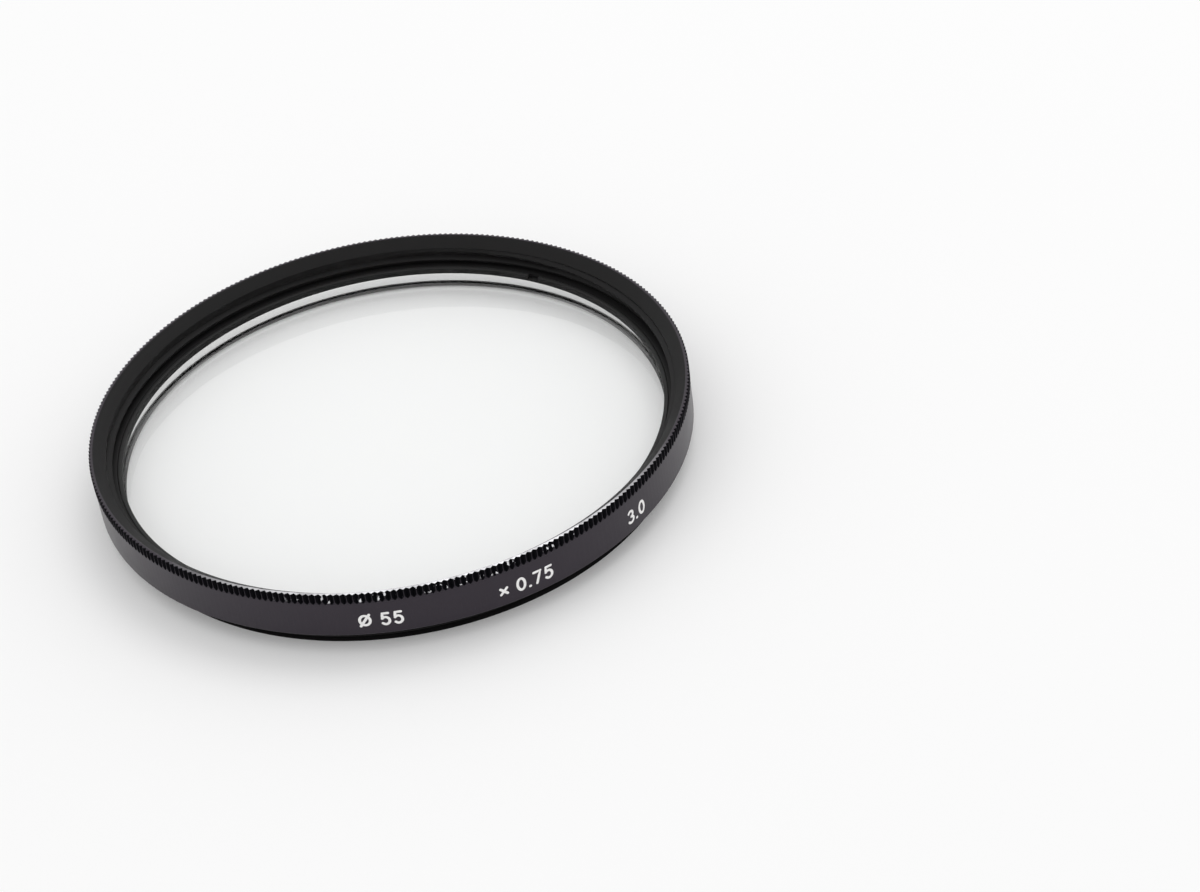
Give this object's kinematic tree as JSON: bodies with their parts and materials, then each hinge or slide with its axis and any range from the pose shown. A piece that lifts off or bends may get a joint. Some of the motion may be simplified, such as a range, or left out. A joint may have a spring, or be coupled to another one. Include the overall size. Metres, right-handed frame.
{
  "type": "screw-in lens filter",
  "caption": "Round screw-in lens filter: a knurled black metal ring, with a male lens thread behind and a female thread in front, holds a clear glass disc under a slotted retaining ring.",
  "frame": {"origin": "on the filter's axis, in the plane of the rear end of the male lens thread", "axes": "+Z along the axis towards the knurled front rim; X and Y across the glass"},
  "size_m": [0.058, 0.058, 0.0068],
  "materials": {
    "black_anodised": "satin black anodised, turned",
    "black_matt": "matt black anodised",
    "clear_glass": "polished, clear",
    "white_fill": "matt white paint in the engraved marks"
  },
  "bodies": {
    "root": {"filter_ring": "black_anodised", "filter_glass": "clear_glass", "retaining_ring": "black_matt"}
  },
  "joints": []
}
